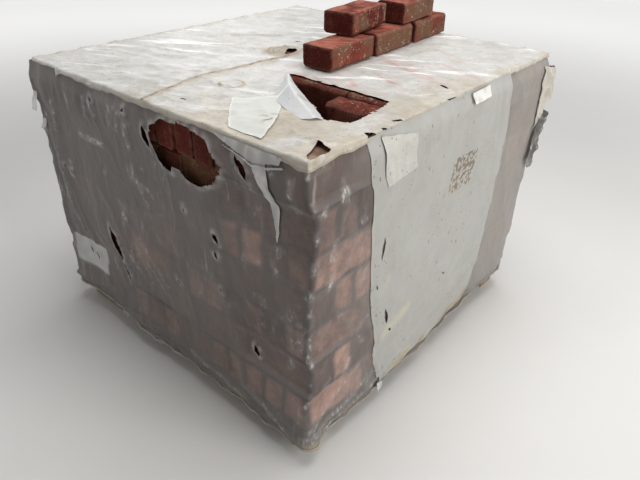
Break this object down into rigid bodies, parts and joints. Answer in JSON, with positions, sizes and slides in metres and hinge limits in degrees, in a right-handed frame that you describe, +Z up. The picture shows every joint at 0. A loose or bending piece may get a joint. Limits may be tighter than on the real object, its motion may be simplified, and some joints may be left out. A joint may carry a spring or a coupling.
{
  "type": "pallet of bricks",
  "caption": "Wrapped pack of clay bricks on edge in crossed courses on a timber pallet, with a torn white top sheet, an open pit and loose bricks on top.",
  "frame": {"origin": "on the floor under the middle of the pack, at the bottom centre of its box", "axes": "+Z up; -Y is the front, with the torn film; +X is the right side, with the white sheet"},
  "size_m": [1.0868, 1.1417, 0.967],
  "materials": {
    "brick": "rough fired clay, sanded face",
    "hidden_brick": "rough fired clay",
    "pallet_timber": "sawn softwood",
    "milky_film": "hazy translucent film",
    "white_sheet": "dirty white film"
  },
  "bodies": {
    "root": {"course_1": "brick", "course_1_core": "hidden_brick", "course_2": "brick", "course_2_core": "hidden_brick", "course_3": "brick", "course_3_core": "hidden_brick", "course_4": "brick", "course_4_core": "hidden_brick", "course_5": "brick", "course_5_core": "hidden_brick", "course_6": "brick", "course_7": "brick", "deck_board_1": "pallet_timber", "deck_board_2": "pallet_timber", "deck_board_3": "pallet_timber", "deck_board_4": "pallet_timber", "deck_board_5": "pallet_timber", "deck_board_6": "pallet_timber", "deck_board_7": "pallet_timber", "deck_board_8": "pallet_timber", "film_skirt_back": "milky_film", "film_skirt_corners": "milky_film", "film_skirt_front": "milky_film", "film_skirt_left": "milky_film", "film_skirt_right": "milky_film", "film_wrap": "milky_film", "loose_brick_1": "brick", "loose_brick_2": "brick", "loose_brick_3": "brick", "loose_brick_4": "brick", "loose_brick_5": "brick", "lying_flap": "white_sheet", "pallet_bearer_1": "pallet_timber", "pallet_bearer_2": "pallet_timber", "pallet_bearer_3": "pallet_timber", "side_sheet": "white_sheet", "top_sheet": "white_sheet", "turned_flap": "milky_film"}
  },
  "joints": []
}
